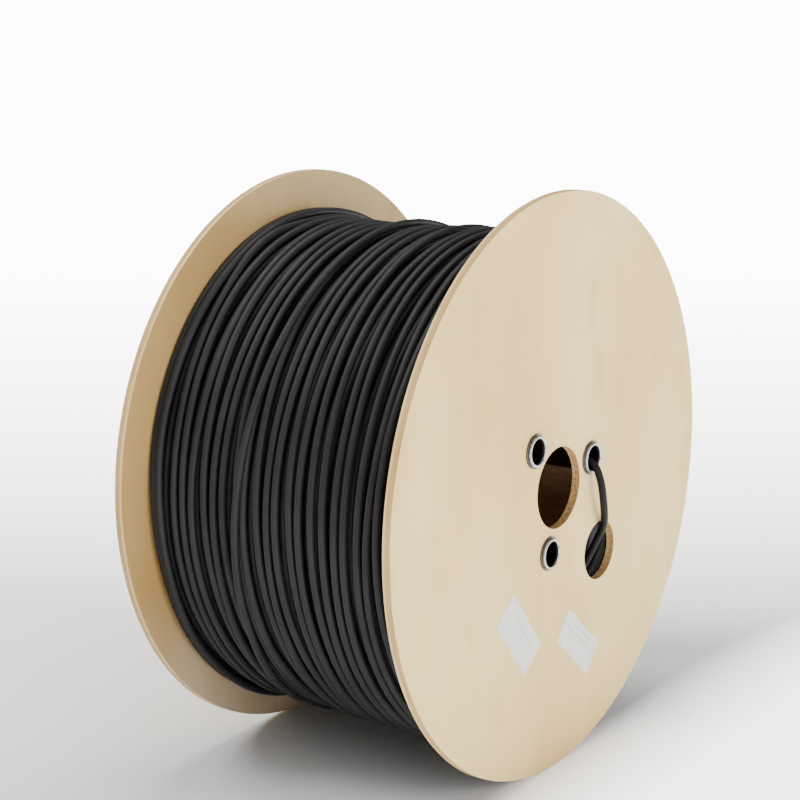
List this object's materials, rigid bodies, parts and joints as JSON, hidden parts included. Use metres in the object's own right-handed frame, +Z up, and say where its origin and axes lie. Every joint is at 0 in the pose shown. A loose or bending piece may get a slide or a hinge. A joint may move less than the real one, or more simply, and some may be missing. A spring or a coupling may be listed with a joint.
{
  "type": "wooden cable drum",
  "caption": "Plywood cable drum lying on its rims: round flanges on a barrel, clamped by steel tie tubes and wound with thin black cable whose inner end shows.",
  "frame": {"origin": "middle of the drum: on its axis, halfway between the two flanges", "axes": "+X along the drum's axis towards the flange with the cable outlet, +Z up as the drum lies on its rims, +Y level"},
  "size_m": [0.2627, 0.4499, 0.45],
  "materials": {
    "plywood": "sanded birch plywood, bare",
    "barrel_board": "rough brown board",
    "galvanised_steel": "galvanised, satin",
    "cable_jacket": "matt black jacket",
    "label_paper": "white gummed paper, plain"
  },
  "bodies": {
    "root": {"flange_outlet": "plywood", "flange_plain": "plywood", "barrel": "barrel_board", "tie_tube_1": "galvanised_steel", "tie_tube_2": "galvanised_steel", "tie_tube_3": "galvanised_steel", "washer_outlet_side_1": "galvanised_steel", "washer_outlet_side_2": "galvanised_steel", "washer_outlet_side_3": "galvanised_steel", "washer_plain_side_1": "galvanised_steel", "washer_plain_side_2": "galvanised_steel", "washer_plain_side_3": "galvanised_steel", "cable_winding": "cable_jacket", "cable_tail": "cable_jacket", "label_left": "label_paper", "label_right": "label_paper"}
  },
  "joints": []
}
